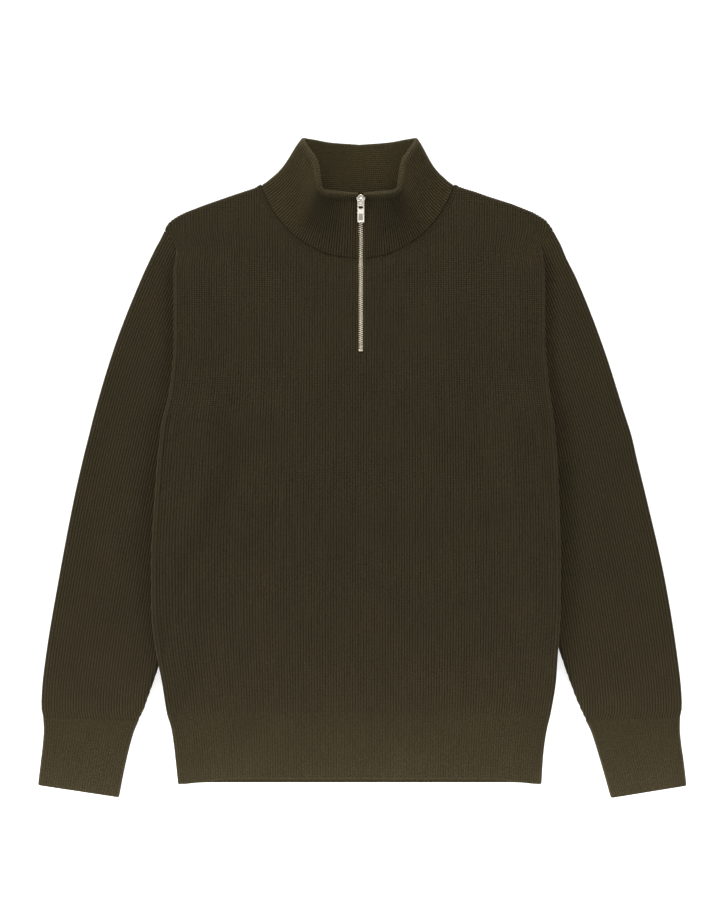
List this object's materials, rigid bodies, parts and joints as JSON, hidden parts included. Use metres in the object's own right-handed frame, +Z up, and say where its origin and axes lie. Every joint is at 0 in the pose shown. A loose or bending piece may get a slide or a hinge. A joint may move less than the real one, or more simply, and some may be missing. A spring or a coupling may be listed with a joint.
{
  "type": "quarter zip sweater",
  "caption": "Long sleeved rib knit sweater with a stand collar and a short front zip, laid flat on its back.",
  "frame": {"origin": "middle of the garment's bounding box, on the surface that it lies on", "axes": "+X across the body to the right as seen from the front, +Y from the hem to the collar, +Z up out of the front"},
  "size_m": [0.737, 0.7501, 0.0246],
  "materials": {
    "rib_knit": "matt dark olive rib knit",
    "rib_band": "matt dark olive rib knit, a little lighter",
    "collar_knit": "matt dark olive rib knit, double",
    "zip_tape": "woven tape, dark olive",
    "zip_metal": "polished nickel plate"
  },
  "bodies": {
    "garment": {"front_panel": "rib_knit", "back_panel": "rib_knit", "sleeve_left": "rib_knit", "sleeve_right": "rib_knit", "cuff_left": "rib_band", "cuff_right": "rib_band", "hem_band": "rib_band", "collar": "collar_knit", "zip_tape": "zip_tape", "zip_chain": "zip_metal", "zip_slider": "zip_metal"},
    "pull_tab": {"zip_pull": "zip_metal"}
  },
  "joints": [
    {"name": "pull_hinge", "type": "hinge", "parent": "garment", "child": "pull_tab", "pos_m": [-0.0013, 0.3023, 0.02101], "axis": [-1, 0, 0], "range_deg": [0, 150]}
  ]
}
